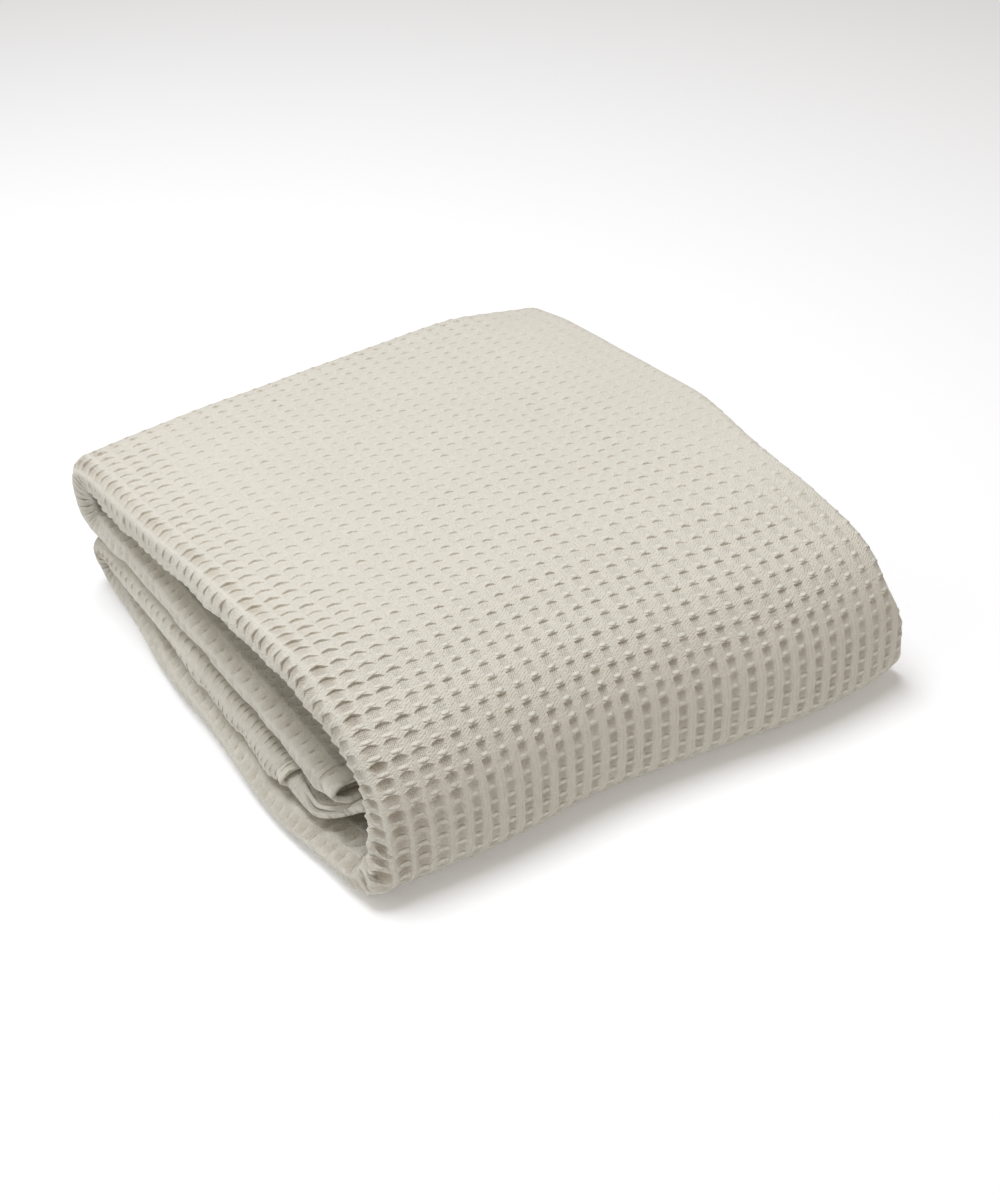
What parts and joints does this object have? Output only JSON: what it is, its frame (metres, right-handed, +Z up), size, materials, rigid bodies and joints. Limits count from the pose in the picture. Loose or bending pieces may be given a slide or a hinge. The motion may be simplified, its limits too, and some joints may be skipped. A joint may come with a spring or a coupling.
{
  "type": "folded blanket",
  "caption": "Waffle weave cotton throw blanket folded into a soft low stack, its two ends tucked inside, with a broad rounded front fold and a rolled side.",
  "frame": {"origin": "middle of the footprint, on the surface that the blanket lies on", "axes": "+Z up; the broad rounded front fold faces -Y, the rolled side faces -X"},
  "size_m": [0.3332, 0.3558, 0.1054],
  "materials": {
    "cotton": "undyed ivory waffle weave cotton, soft and matte"
  },
  "bodies": {
    "root": {"blanket": "cotton"}
  },
  "joints": []
}
